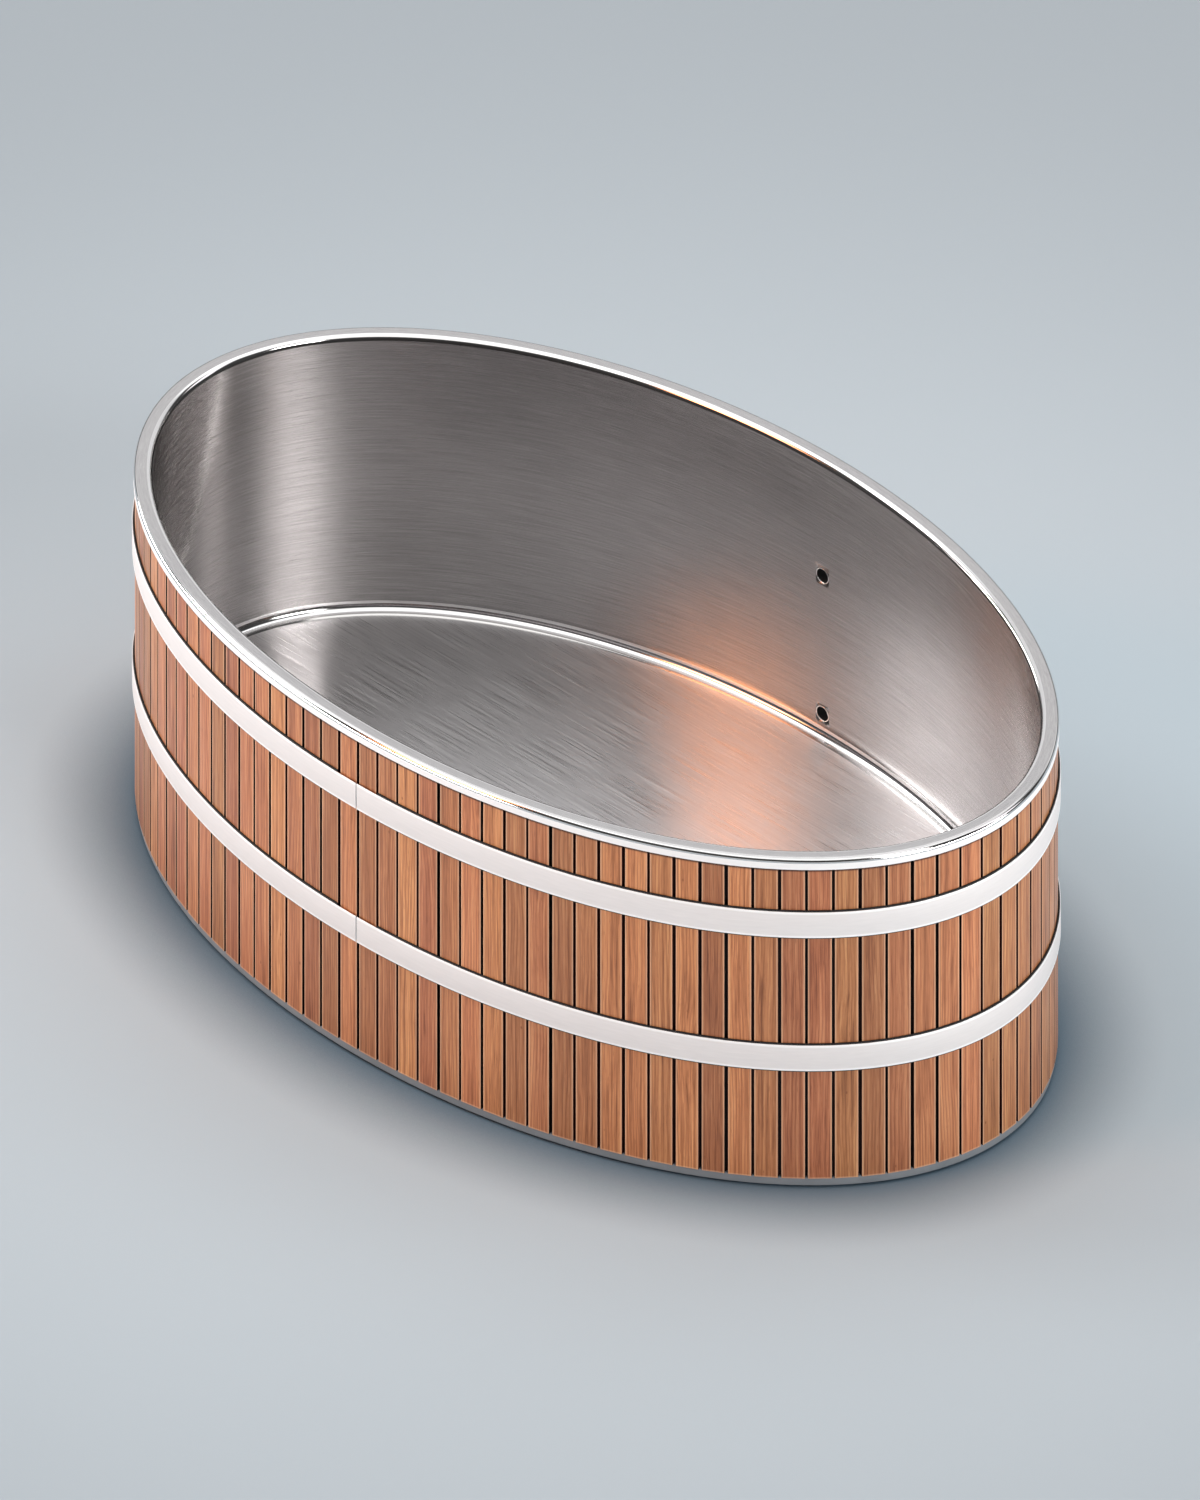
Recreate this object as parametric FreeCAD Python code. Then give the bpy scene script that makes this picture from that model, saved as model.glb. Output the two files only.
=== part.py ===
import FreeCAD, Part
import math
import os

# Oval bathtub: a coopered ring of timber staves round a stainless steel liner, pulled tight by two
# steel hoops, with a folded steel rim, a plinth ring and a hidden base on six screw feet.
# Millimetres. Origin on the floor under the middle, +X along the tub, +Y to the plumbed side, +Z up.
# Every oval layer is an ellipse: the stave face line plus an offset, positive outwards.

# Overall form
tub_length = 1800.0  # over the stave faces
tub_width = 1086.0
bath_depth = 537.0  # rim top down to the floor plate

# Fits shared by several pieces
fit_gap = 0.3  # between pieces that are pushed together
band_gap = 0.1  # between curved layers that lie on each other
overrun = 20.0  # how far every cutting shape runs past what it cuts

# Steel sheet of the liner and the rim
sheet_thickness = 2.0

# Staves
stave_count = 106
stave_thickness = 20.0
stave_joint_gap = 0.3
shadow_groove_width = 3.6  # the dark line between two stave faces
shadow_groove_depth = 6.0
tongue_setback = 9.5  # stave face to the tongue
tongue_thickness = 4.5
tongue_length = 5.0
croze_depth = 5.0  # cross groove inside that takes the deck's edge
stave_top_chamfer = 1.5  # clears the bend inside the rim
stave_node_count = 21
arc_steps_per_stave = 200

# Plinth ring under the staves
plinth_floor_gap = 5.0
plinth_height = 15.0
plinth_thickness = 12.0
plinth_recess = 2.5  # back from the stave faces

# Packing bands between staves and liner, at the height of the hoops
packing_thickness = 5.3

# Hoops, with a backing strip and a splice plate behind the seam
hoop_width = 50.0
hoop_thickness = 1.5
hoop_seam_gap = 0.6
hoop_height_shares = {"lower": 0.382, "upper": 0.8}  # middle of the hoop, of the stave length
strip_thickness = 2.6
strip_margin = 2.5  # past each edge of the hoop
splice_length = 90.0
splice_edge_inset = 4.0
splice_end_gap = 0.5

# Rim
rim_skirt_depth = 20.0
rim_lip_depth = 12.0
rim_bend_radius = 2.0  # inside the bend

# Liner floor, cove and wall
cove_radius = 16.0  # inside the cove
cove_flange = 4.0  # flat stretch inside the cove, up to the floor plate
cove_upstand = 4.0  # straight stretch above the cove, up to the wall
wall_side_share = 0.7  # half length of the side panels, as a share of half the tub

# Ports through the +Y side
port_radius = 12.75
port_sleeve_wall = 2.0
port_sleeve_proud = 1.0
port_hole_clearance = 1.0  # sleeve to timber
lower_port_height = 41.0  # above the floor plate
upper_port_height = 313.0

# Base
insulation_thickness = 45.0
deck_thickness = 18.0
bearer_width = 50.0
bearer_height = 30.0
bearer_wall = 3.0
bearer_spacing = 560.0
bearer_end_clearance = 10.0
bearer_cap_thickness = 3.0
deck_screw_radius = 4.0
deck_screw_head_radius = 8.0
deck_screw_head_height = 4.4
deck_screw_reach = 8.0  # below the bearer's top wall
deck_screw_shares = (-0.5, 0.0, 0.5)  # of a bearer's half length

# Levelling feet
pad_radius = 30.0
pad_edge_height = 3.0
pad_boss_radius = 13.0
pad_height = 8.0
pad_socket_floor = 3.0
spindle_radius = 6.0
spindle_tip_chamfer = 1.0
spindle_tip_clearance = 2.0
spindle_collar_width = 17.0  # across flats
spindle_collar_height = 4.0
thread_clearance = 0.05
foot_inset = 70.0  # from the bearer's end
foot_raise = 5.0  # how far a foot can be screwed in from rest
foot_raise_clearance = 1.0
foot_hole_clearance = 1.0
nut_width = 19.0  # across flats
nut_height = 10.0

# Levels, from the floor up
bearer_bottom = pad_height + spindle_collar_height + foot_raise + foot_raise_clearance
deck_bottom = bearer_bottom + bearer_height
deck_top = deck_bottom + deck_thickness
plate_bottom = deck_top + insulation_thickness
floor_level = plate_bottom + sheet_thickness
cove_top = floor_level + cove_radius + cove_upstand
rim_top = floor_level + bath_depth
wall_top = rim_top - rim_lip_depth
skirt_bottom = rim_top - rim_skirt_depth
stave_bottom = plinth_floor_gap + plinth_height
stave_top = rim_top - sheet_thickness - fit_gap
stave_length = stave_top - stave_bottom
hoop_levels = {name: stave_bottom + share * stave_length for name, share in hoop_height_shares.items()}
port_levels = {"lower": floor_level + lower_port_height, "upper": floor_level + upper_port_height}

half_length = tub_length / 2
half_width = tub_width / 2


def oval_point(angle):
    return FreeCAD.Vector(half_length * math.cos(angle), half_width * math.sin(angle), 0)


# Stave joints at even distances round the oval, the first at the front centre.
# Each joint is its point on the stave face line, the outward normal and the direction of travel.
def even_joints():
    steps = stave_count * arc_steps_per_stave
    angles = [2 * math.pi * step / steps - math.pi / 2 for step in range(steps + 1)]
    travelled = [0.0]
    for before, after in zip(angles, angles[1:]):
        travelled.append(travelled[-1] + oval_point(before).distanceToPoint(oval_point(after)))
    joints = []
    step = 0
    for joint in range(stave_count):
        target = travelled[-1] * joint / stave_count
        while travelled[step + 1] < target:
            step += 1
        share = (target - travelled[step]) / (travelled[step + 1] - travelled[step])
        angle = angles[step] + share * (angles[step + 1] - angles[step])
        travel = FreeCAD.Vector(-half_length * math.sin(angle), half_width * math.cos(angle), 0).normalize()
        joints.append((oval_point(angle), FreeCAD.Vector(travel.y, -travel.x, 0), travel))
    return joints, travelled[-1] / stave_count


stave_joints, stave_pitch = even_joints()

# A flat stave back is a chord, and an ellipse drawn inside another one is not everywhere as far in:
# an oval behind flat faces stands clear of them by both.
stave_sagitta = stave_pitch ** 2 / (8 * half_width ** 2 / half_length)
oval_ratio = 2 * math.sqrt(half_length * half_width) / (half_length + half_width)


def oval_behind(depth):
    return -(depth + stave_sagitta + band_gap) / oval_ratio


# Offsets of the oval layers from the stave face line
packing_outer = oval_behind(stave_thickness)
packing_inner = packing_outer - packing_thickness
liner_outer = packing_inner - band_gap
liner_inner = liner_outer - sheet_thickness
plate_edge = liner_inner - cove_radius - cove_flange
deck_edge = oval_behind(stave_thickness - croze_depth)
strip_inner = fit_gap
strip_outer = strip_inner + strip_thickness
hoop_inner = strip_outer + band_gap
hoop_outer = hoop_inner + hoop_thickness
skirt_inner = fit_gap
skirt_outer = skirt_inner + sheet_thickness
sleeve_radius = port_radius + port_sleeve_wall


def oval_prism(offset, bottom, top):
    outline = Part.Ellipse(FreeCAD.Vector(0, 0, bottom), half_length + offset, half_width + offset)
    face = Part.Face(Part.Wire([outline.toShape()]))
    return face.extrude(FreeCAD.Vector(0, 0, top - bottom))


def oval_ring(inner, outer, bottom, top):
    return oval_prism(outer, bottom, top).cut(oval_prism(inner, bottom - overrun, top + overrun))


def oval_half_width(x, offset):
    return (half_width + offset) * math.sqrt(1 - (x / (half_length + offset)) ** 2)


def block(low, high):
    size = [b - a for a, b in zip(low, high)]
    return Part.makeBox(*size, FreeCAD.Vector(*low))


def prism(points, bottom, top):
    corners = [FreeCAD.Vector(p.x, p.y, bottom) for p in points]
    face = Part.Face(Part.Wire(Part.makePolygon(corners + corners[:1])))
    return face.extrude(FreeCAD.Vector(0, 0, top - bottom))


def hexagon(centre, across_flats):
    reach = across_flats / math.sqrt(3)
    turns = [math.pi * side / 3 for side in range(6)]
    return [centre + FreeCAD.Vector(reach * math.cos(turn), reach * math.sin(turn), 0) for turn in turns]


def upright_cylinder(centre, radius, bottom, top):
    return Part.makeCylinder(radius, top - bottom, FreeCAD.Vector(centre.x, centre.y, bottom))


def round_level_edges(shape, level, radius):
    edges = [edge for edge in shape.Edges
             if abs(edge.BoundBox.ZMin - level) < band_gap and abs(edge.BoundBox.ZMax - level) < band_gap]
    return shape.makeFillet(radius, edges)


# A box across the tub on its front (-Y) side, as wide as given and higher than everything
def front_block(width):
    reach = half_width + hoop_outer + overrun
    return block((-width / 2, -reach, -overrun), (width / 2, 0, rim_top + overrun))


def port_hole(radius, level):
    reach = half_width + port_sleeve_proud + overrun
    return Part.makeCylinder(radius, reach, FreeCAD.Vector(0, 0, level), FreeCAD.Vector(0, 1, 0))


# Both ports' holes through a layer that the sleeves pass, with the given clearance round the sleeve
def port_holes(clearance):
    return [port_hole(sleeve_radius + clearance, level) for level in port_levels.values()]


# One stave: its cross-section goes from the face, down the tongue edge, along the back and up the
# grooved edge. A point of an edge is a depth below the face and a distance in from the joint.
def stave(number):
    first = stave_joints[number]
    last = stave_joints[(number + 1) % stave_count]

    def tongue_edge(depth, inward):
        return first[0] - first[1] * depth + first[2] * inward

    def grooved_edge(depth, inward):
        return last[0] - last[1] * depth - last[2] * inward

    face_in = shadow_groove_width / 2
    edge_in = stave_joint_gap / 2
    tongue_back = tongue_setback + tongue_thickness
    section = [
        tongue_edge(0, face_in),
        tongue_edge(shadow_groove_depth, face_in),
        tongue_edge(shadow_groove_depth, edge_in),
        tongue_edge(tongue_setback, edge_in),
        tongue_edge(tongue_setback, -tongue_length),
        tongue_edge(tongue_back, -tongue_length),
        tongue_edge(tongue_back, edge_in),
        tongue_edge(stave_thickness, edge_in),
        grooved_edge(stave_thickness, edge_in),
        grooved_edge(tongue_back + fit_gap, edge_in),
        grooved_edge(tongue_back + fit_gap, tongue_length + fit_gap),
        grooved_edge(tongue_setback - fit_gap, tongue_length + fit_gap),
        grooved_edge(tongue_setback - fit_gap, edge_in),
        grooved_edge(shadow_groove_depth, edge_in),
        grooved_edge(shadow_groove_depth, face_in),
        grooved_edge(0, face_in),
    ]
    board = prism(section, stave_bottom, stave_top)
    face_middle = (section[0] + section[-1]) / 2 + FreeCAD.Vector(0, 0, stave_top)
    top_edge = [edge for edge in board.Edges if edge.CenterOfMass.distanceToPoint(face_middle) < band_gap]
    board = board.makeChamfer(stave_top_chamfer, top_edge)
    croze_floor = stave_thickness - croze_depth
    along_chord = (last[0] - first[0]).normalize() * overrun
    croze = prism([
        tongue_edge(croze_floor, 0) - along_chord,
        tongue_edge(stave_thickness + overrun, 0) - along_chord,
        grooved_edge(stave_thickness + overrun, 0) + along_chord,
        grooved_edge(croze_floor, 0) + along_chord,
    ], deck_bottom - fit_gap, deck_top + fit_gap)
    return board.cut(croze)


# The staves that a port sleeve passes through are bored and kept as a node of their own;
# the rest are shared out in order between the other nodes.
def stave_nodes():
    hole_radius = sleeve_radius + port_hole_clearance
    holes = port_holes(port_hole_clearance)
    bored = []
    plain = []
    for number in range(stave_count):
        ends = [stave_joints[number][0], stave_joints[(number + 1) % stave_count][0]]
        low, high = sorted(end.x for end in ends)
        board = stave(number)
        if ends[0].y > 0 and low < hole_radius and high > -hole_radius:
            bored.append(board.cut(holes))
        else:
            plain.append(board)
    nodes = {"staves_at_ports": Part.makeCompound(bored)}
    for group in range(stave_node_count):
        start = len(plain) * group // stave_node_count
        end = len(plain) * (group + 1) // stave_node_count
        nodes["staves_%02d" % (group + 1)] = Part.makeCompound(plain[start:end])
    return nodes


# A hoop with its backing strip, splice plate and the packing band behind the staves
def hoop_nodes(name, level):
    bottom = level - hoop_width / 2
    top = level + hoop_width / 2
    band = oval_ring(hoop_inner, hoop_outer, bottom, top)
    strip = oval_ring(strip_inner, strip_outer, bottom - strip_margin, top + strip_margin)
    splice = oval_ring(strip_inner, strip_outer, bottom + splice_edge_inset, top - splice_edge_inset)
    packing = oval_ring(packing_inner, packing_outer, bottom, top)
    holes = port_holes(port_hole_clearance)
    return {
        name + "_hoop": band.cut([front_block(hoop_seam_gap)] + holes),
        name + "_hoop_strip": strip.cut([front_block(splice_length + 2 * splice_end_gap)] + holes),
        name + "_hoop_splice": splice.common(front_block(splice_length)),
        name + "_packing_band": packing.cut(holes),
    }


# Channel section: flat top, skirt outside, shorter lip inside that the wall is welded to
def rim_cap():
    lowest = min(skirt_bottom, wall_top) - overrun
    middle = (liner_outer + skirt_inner) / 2
    outside = oval_ring(liner_inner, skirt_outer, lowest, rim_top)
    outside = round_level_edges(outside, rim_top, rim_bend_radius + sheet_thickness)
    channel_top = rim_top - sheet_thickness
    channel = oval_ring(liner_outer, skirt_inner, lowest - overrun, channel_top)
    channel = round_level_edges(channel, channel_top, rim_bend_radius)
    below_lip = oval_prism(middle, lowest - overrun, wall_top)
    below_skirt = oval_ring(middle, skirt_outer + overrun, lowest - overrun, skirt_bottom)
    return outside.cut(channel).cut(below_lip).cut(below_skirt)


# The floor plate, and the cove ring that is welded round it and carries the wall
def floor_and_cove():
    outside = oval_prism(liner_outer, plate_bottom, cove_top)
    outside = round_level_edges(outside, plate_bottom, cove_radius + sheet_thickness)
    inside = oval_prism(liner_inner, floor_level, cove_top + overrun)
    inside = round_level_edges(inside, floor_level, cove_radius)
    core = oval_prism(plate_edge, plate_bottom - overrun, cove_top + overrun)
    return {
        "liner_floor": oval_prism(plate_edge, plate_bottom, floor_level),
        "liner_cove": outside.cut(inside).cut(core).cut(port_holes(band_gap)),
    }


# Two side panels and two end panels, rolled to the oval and butt welded
def wall_nodes():
    wall = oval_ring(liner_inner, liner_outer, cove_top, wall_top)
    side = wall_side_share * half_length
    end = half_length + overrun
    wide = half_width + overrun
    low = cove_top - overrun
    high = wall_top + overrun
    return {
        "liner_wall_front": wall.common(block((-side, -wide, low), (side, 0, high))),
        "liner_wall_back": wall.common(block((-side, 0, low), (side, wide, high))).cut(port_holes(band_gap)),
        "liner_wall_left": wall.common(block((-end, -wide, low), (-side, wide, high))),
        "liner_wall_right": wall.common(block((side, -wide, low), (end, wide, high))),
    }


# Tube from the wet face of the liner to just proud of the timber
def port_sleeve(level):
    inner_end = half_width + liner_inner
    length = port_sleeve_proud - liner_inner
    start = FreeCAD.Vector(0, inner_end, level)
    outward = FreeCAD.Vector(0, 1, 0)
    tube = Part.makeCylinder(sleeve_radius, length, start, outward)
    return tube.cut(port_hole(port_radius, level))


# Countersunk screw standing with its head's top at the deck's top, grown by a clearance for its hole
def deck_screw(place, clearance):
    radius = deck_screw_radius + clearance
    head_radius = deck_screw_head_radius + clearance
    tip = deck_bottom - bearer_wall - deck_screw_reach
    profile = [(0, tip), (radius, tip), (radius, deck_top - deck_screw_head_height),
               (head_radius, deck_top), (0, deck_top)]
    corners = [FreeCAD.Vector(r, 0, z) for r, z in profile]
    face = Part.Face(Part.Wire(Part.makePolygon(corners + corners[:1])))
    screw = face.revolve(FreeCAD.Vector(0, 0, 0), FreeCAD.Vector(0, 0, 1), 360)
    return screw.translate(place)


# Pad turned to shape, with a socket for the spindle
def foot_pad(place):
    socket = spindle_radius + thread_clearance
    profile = [(0, 0), (pad_radius, 0), (pad_radius, pad_edge_height), (pad_boss_radius, pad_height),
               (socket, pad_height), (socket, pad_socket_floor), (0, pad_socket_floor)]
    corners = [FreeCAD.Vector(r, 0, z) for r, z in profile]
    face = Part.Face(Part.Wire(Part.makePolygon(corners + corners[:1])))
    pad = face.revolve(FreeCAD.Vector(0, 0, 0), FreeCAD.Vector(0, 0, 1), 360)
    return pad.translate(place)


# Threaded rod, chamfered at its tip, with a hexagon collar that a spanner turns
def foot_spindle(place):
    tip = deck_bottom - bearer_wall - foot_raise - spindle_tip_clearance
    rod = upright_cylinder(place, spindle_radius, pad_socket_floor, tip)
    tip_edges = [edge for edge in rod.Edges if edge.BoundBox.ZMin > pad_height]
    rod = rod.makeChamfer(spindle_tip_chamfer, tip_edges)
    collar = prism(hexagon(place, spindle_collar_width), pad_height, pad_height + spindle_collar_height)
    return rod.fuse(collar)


def weld_nut(place):
    bottom = bearer_bottom + bearer_wall
    body = prism(hexagon(place, nut_width), bottom, bottom + nut_height)
    return body.cut(upright_cylinder(place, spindle_radius + thread_clearance, 0, deck_bottom))


# Deck, insulation, bearers and feet
def base_nodes():
    deck = oval_prism(deck_edge, deck_bottom, deck_top)
    nodes = {}
    caps = []
    nuts = []
    screws = []
    for column, x in (("left", -bearer_spacing), ("middle", 0), ("right", bearer_spacing)):
        reach = oval_half_width(abs(x) + bearer_width / 2, packing_outer) - bearer_end_clearance
        half = reach - bearer_cap_thickness
        low = x - bearer_width / 2
        high = x + bearer_width / 2
        bearer = block((low, -half, bearer_bottom), (high, half, deck_bottom))
        bearer = bearer.cut(block((low + bearer_wall, -half - overrun, bearer_bottom + bearer_wall),
                                  (high - bearer_wall, half + overrun, deck_bottom - bearer_wall)))
        for share in deck_screw_shares:
            place = FreeCAD.Vector(x, share * half, 0)
            screws.append(deck_screw(place, 0))
            hole = deck_screw(place, fit_gap)
            deck = deck.cut(hole)
            bearer = bearer.cut(hole)
        for row, side in (("front", -1), ("back", 1)):
            near, far = sorted((side * half, side * reach))
            caps.append(block((low, near, bearer_bottom), (high, far, deck_bottom)))
            place = FreeCAD.Vector(x, side * (half - foot_inset), 0)
            hole_radius = spindle_radius + foot_hole_clearance
            bearer = bearer.cut(upright_cylinder(place, hole_radius, 0, bearer_bottom + nut_height))
            nuts.append(weld_nut(place))
            nodes["foot_pad_%s_%s" % (row, column)] = foot_pad(place)
            nodes["foot_spindle_%s_%s" % (row, column)] = foot_spindle(place)
        nodes["bearer_" + column] = bearer
    nodes["base_deck"] = deck
    nodes["deck_screws"] = Part.makeCompound(screws)
    nodes["bearer_end_caps"] = Part.makeCompound(caps)
    nodes["weld_nuts"] = Part.makeCompound(nuts)
    insulation_edge = liner_outer - cove_radius - sheet_thickness
    nodes["insulation_board"] = oval_prism(insulation_edge, deck_top, plate_bottom)
    return nodes


def all_nodes():
    nodes = {"rim_cap": rim_cap()}
    nodes.update(wall_nodes())
    nodes.update(floor_and_cove())
    for name, level in port_levels.items():
        nodes["port_sleeve_" + name] = port_sleeve(level)
    for name, level in hoop_levels.items():
        nodes.update(hoop_nodes(name, level))
    nodes.update(stave_nodes())
    nodes["plinth_ring"] = oval_ring(-plinth_recess - plinth_thickness, -plinth_recess,
                                     plinth_floor_gap, stave_bottom)
    nodes.update(base_nodes())
    return nodes


os.makedirs("parts", exist_ok=True)
for node, shape in all_nodes().items():
    shape.exportStep("parts/" + node + ".step")
    print(node, len(shape.Solids), "valid" if shape.isValid() else "NOT VALID", round(shape.Volume))
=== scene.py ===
import math

import bmesh
import bpy
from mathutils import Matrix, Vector


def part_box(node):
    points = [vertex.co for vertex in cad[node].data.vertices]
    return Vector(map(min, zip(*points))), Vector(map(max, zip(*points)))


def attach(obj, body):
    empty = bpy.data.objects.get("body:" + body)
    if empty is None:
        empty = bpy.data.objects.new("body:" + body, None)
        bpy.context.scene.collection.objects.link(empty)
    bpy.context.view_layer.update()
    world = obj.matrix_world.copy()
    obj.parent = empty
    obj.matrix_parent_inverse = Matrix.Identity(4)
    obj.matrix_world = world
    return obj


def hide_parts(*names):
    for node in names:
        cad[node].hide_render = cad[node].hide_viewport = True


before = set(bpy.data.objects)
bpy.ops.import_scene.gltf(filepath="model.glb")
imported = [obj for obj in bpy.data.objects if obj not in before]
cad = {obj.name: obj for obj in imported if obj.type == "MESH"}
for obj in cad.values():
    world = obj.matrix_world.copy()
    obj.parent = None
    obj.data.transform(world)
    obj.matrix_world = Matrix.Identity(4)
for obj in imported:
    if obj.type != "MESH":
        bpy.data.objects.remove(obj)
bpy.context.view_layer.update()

scene = bpy.context.scene
scene.view_settings.view_transform = "Standard"
print("frame loaded:", len(cad), "nodes")

# The oval that the stave faces stand on, read back from the rim, in metres like everything here
skirtProud = 0.0023
rimLow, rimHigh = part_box("rim_cap")
oval = {
    "halfLength": rimHigh.x - skirtProud,
    "halfWidth": rimHigh.y - skirtProud,
    "steps": 360,
}
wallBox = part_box("liner_wall_back")
sheet = 0.002
linerOuter = wallBox[1].y - oval["halfWidth"]
linerInner = linerOuter - sheet
portNames = ("port_sleeve_lower", "port_sleeve_upper")
ports = {name: (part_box(name)[0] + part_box(name)[1]) / 2 for name in portNames}
portRadius = (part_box(portNames[0])[1].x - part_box(portNames[0])[0].x) / 2


def ovalPoint(angle, offset, z):
    x = (oval["halfLength"] + offset) * math.cos(angle)
    y = (oval["halfWidth"] + offset) * math.sin(angle)
    return Vector((x, y, z))


# Points of an arc in a profile, angles in degrees
def arc(centre, radius, start, end, steps):
    turns = [math.radians(start + (end - start) * k / steps) for k in range(steps + 1)]
    return [(centre[0] + radius * math.cos(t), centre[1] + radius * math.sin(t)) for t in turns]


def roundedBar(low, high, radius, steps=3):
    x0, z0 = low
    x1, z1 = high
    return (arc((x1 - radius, z0 + radius), radius, -90, 0, steps)
            + arc((x1 - radius, z1 - radius), radius, 0, 90, steps)
            + arc((x0 + radius, z1 - radius), radius, 90, 180, steps)
            + arc((x0 + radius, z0 + radius), radius, 180, 270, steps))


def meshFrom(shape, name, sharpAngle=35):
    bmesh.ops.recalc_face_normals(shape, faces=shape.faces)
    mesh = bpy.data.meshes.new(name)
    shape.to_mesh(mesh)
    shape.free()
    mesh.shade_smooth()
    mesh.set_sharp_from_angle(angle=math.radians(sharpAngle))
    return mesh


# A closed profile of (offset, z) points carried round the oval. In the UV map u runs round the oval and
# v along the profile, in metres; finishes says which strips take another of the piece's materials
def sweepOval(name, profile, start=0.0, end=2 * math.pi, finishes=None):
    steps = oval["steps"]
    whole = end - start > 2 * math.pi - 1e-9
    count = steps if whole else steps + 1
    angles = [start + (end - start) * k / steps for k in range(steps + 1)]
    around = [0.0]
    for before, after in zip(angles, angles[1:]):
        around.append(around[-1] + (ovalPoint(after, 0, 0) - ovalPoint(before, 0, 0)).length)
    across = [0.0]
    for before, after in zip(profile, profile[1:] + profile[:1]):
        across.append(across[-1] + math.dist(before, after))
    shape = bmesh.new()
    rings = [[shape.verts.new(ovalPoint(angle, *point)) for point in profile] for angle in angles[:count]]
    uv = shape.loops.layers.uv.new("alongOval")
    for k in range(steps):
        here = rings[k]
        there = rings[(k + 1) % count]
        for j in range(len(profile)):
            other = (j + 1) % len(profile)
            face = shape.faces.new((here[j], there[j], there[other], here[other]))
            face.material_index = (finishes or {}).get(j, 0)
            corners = ((k, j), (k + 1, j), (k + 1, j + 1), (k, j + 1))
            for loop, (turn, along) in zip(face.loops, corners):
                loop[uv].uv = (around[turn], across[along])
    if not whole:
        shape.faces.new(rings[0])
        shape.faces.new(rings[-1])
    return meshFrom(shape, name)


def addPiece(name, mesh, material, slot, body, *cadNodes):
    piece = bpy.data.objects.new(name, mesh)
    scene.collection.objects.link(piece)
    if not mesh.materials:
        mesh.materials.append(material)
    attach(piece, body)
    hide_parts(*cadNodes)
    return piece


# One node of a tree; inputs are plain values or the sockets that feed them
def addNode(tree, kind, inputs=None, **settings):
    made = tree.nodes.new(kind)
    for name, value in settings.items():
        setattr(made, name, value)
    for socket, value in (inputs or {}).items():
        if isinstance(value, bpy.types.NodeSocket):
            tree.links.new(value, made.inputs[socket])
        else:
            made.inputs[socket].default_value = value
    return made


def addMath(tree, operation, a, b=0.0, clamp=False):
    return addNode(tree, "ShaderNodeMath", {0: a, 1: b}, operation=operation, use_clamp=clamp).outputs[0]


# A sum of two values, each with its share
def addShares(tree, a, shareA, b, shareB):
    return addMath(tree, "ADD", addMath(tree, "MULTIPLY", a, shareA), addMath(tree, "MULTIPLY", b, shareB))


def addVector(tree, operation, a, b):
    return addNode(tree, "ShaderNodeVectorMath", {0: a, 1: b}, operation=operation).outputs[0]


def addRange(tree, value, fromMin, fromMax, toMin, toMax, smooth=False):
    kind = "SMOOTHSTEP" if smooth else "LINEAR"
    inputs = {"Value": value, "From Min": fromMin, "From Max": fromMax, "To Min": toMin, "To Max": toMax}
    return addNode(tree, "ShaderNodeMapRange", inputs, interpolation_type=kind).outputs["Result"]


def addBlend(tree, factor, a, b, kind="MIX"):
    made = addNode(tree, "ShaderNodeMix", {0: factor, 6: a, 7: b}, data_type="RGBA", blend_type=kind)
    return made.outputs[2]


def addNoise(tree, place, scale, detail=2.0, roughness=0.5):
    stretched = addVector(tree, "MULTIPLY", place, scale)
    inputs = {"Vector": stretched, "Scale": 1.0, "Detail": detail, "Roughness": roughness}
    return addNode(tree, "ShaderNodeTexNoise", inputs).outputs[0]


def newGroup(name, inputs, outputs):
    tree = bpy.data.node_groups.new(name, "ShaderNodeTree")
    for label, kind, value in inputs:
        socket = tree.interface.new_socket(label, in_out="INPUT", socket_type=kind)
        if value is not None:
            socket.default_value = value
    for label, kind in outputs:
        tree.interface.new_socket(label, in_out="OUTPUT", socket_type=kind)
    return tree, tree.nodes.new("NodeGroupInput").outputs, tree.nodes.new("NodeGroupOutput").inputs


def newMaterial(name):
    material = bpy.data.materials.new(name)
    material.use_nodes = True
    tree = material.node_tree
    return material, tree, tree.nodes["Principled BSDF"]


def addGroup(tree, group, inputs):
    return addNode(tree, "ShaderNodeGroup", inputs, node_tree=group).outputs


def addBump(tree, height, distance, strength=1.0):
    inputs = {"Height": height, "Distance": distance, "Strength": strength}
    return addNode(tree, "ShaderNodeBump", inputs).outputs["Normal"]


# Wood grain for the timber finishes: wavering bands, fine fibre, short dark pores, growth lines and a rare
# small knot, all along the board. Triples are cycles in a metre, ranges the part of a noise that is used
wood = {
    "sway": (12, 12, 3.5),
    "bandsAlong": 1.6,
    "fibre": (480, 480, 11),
    "mottle": (16, 16, 4),
    "pores": (900, 900, 45),
    "wander": (10, 10, 1.5),
    "knots": (26, 26, 13),
    "poreRange": (0.6, 0.74),
    "growthRange": (0.3, 1.0),
    "mottleRange": (0.38, 0.62),
    "toneRange": (0.36, 0.64),
    "knotRange": (0.02, 0.06),
    "roughRange": (0.3, 0.7),
    "wanderTurns": 7.0,
    "bandShare": 0.45,
    "fibreShare": 0.35,
    "mottleShare": 0.2,
    "growthShade": (0.1, 0.55),
    "poreShade": 0.45,
    "poreDepth": 0.5,
    "knotShade": 0.8,
    "rough": (0.58, 0.42),
}


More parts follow.
